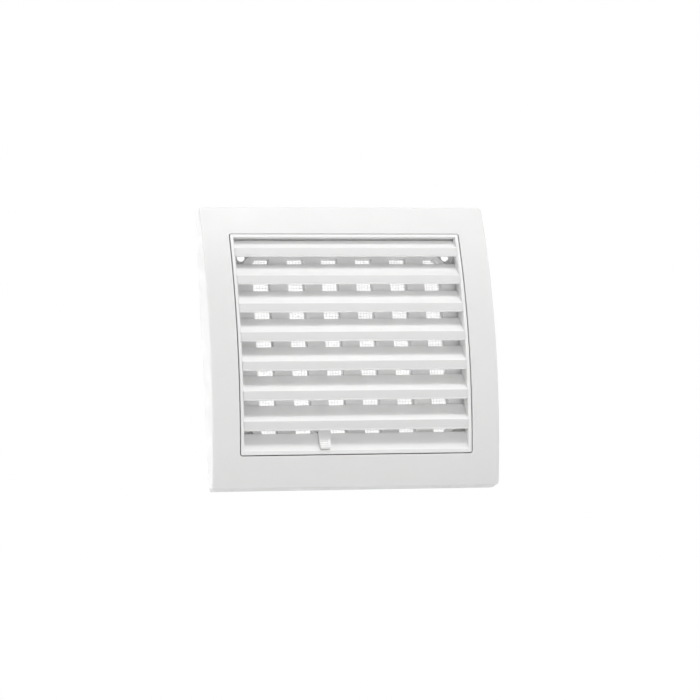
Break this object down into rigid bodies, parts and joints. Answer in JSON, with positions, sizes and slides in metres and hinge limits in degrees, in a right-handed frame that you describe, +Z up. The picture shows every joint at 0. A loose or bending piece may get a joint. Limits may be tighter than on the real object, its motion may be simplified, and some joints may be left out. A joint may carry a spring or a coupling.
{
  "type": "louvred wall air grille",
  "caption": "Square bowed wall air grille with fixed sloping louvres, a slotted sliding shutter moved by a thumb tab, and an insect mesh.",
  "frame": {"origin": "middle of the four screw holes and of the slot field, on the wall plane; the cover's middle is 0.95 mm to its left", "axes": "+X to the right as seen from the room, +Y into the wall, +Z up"},
  "size_m": [0.18, 0.0258, 0.176],
  "materials": {
    "surround": "satin white moulded plastic with a very fine grain",
    "panel": "satin white moulded plastic",
    "louvre": "satin white moulded plastic",
    "shutter": "satin white moulded plastic",
    "tab": "satin white moulded plastic",
    "tray": "satin white moulded plastic",
    "retainer": "satin white moulded plastic",
    "mesh": "fine off-white insect mesh"
  },
  "bodies": {
    "housing": {"surround_frame": "surround", "louvre_panel": "panel", "base_tray": "tray", "mesh_retainer": "retainer", "insect_mesh": "mesh", "louvre_1": "louvre", "louvre_2": "louvre", "louvre_3": "louvre", "louvre_4": "louvre", "louvre_5": "louvre", "louvre_6": "louvre", "louvre_7": "louvre"},
    "damper": {"shutter": "shutter", "thumb_tab": "tab"}
  },
  "joints": [
    {"name": "shutter_slide", "type": "slide", "parent": "housing", "child": "damper", "axis": [-1, 0, 0], "range_m": [0, 0.01168]}
  ]
}
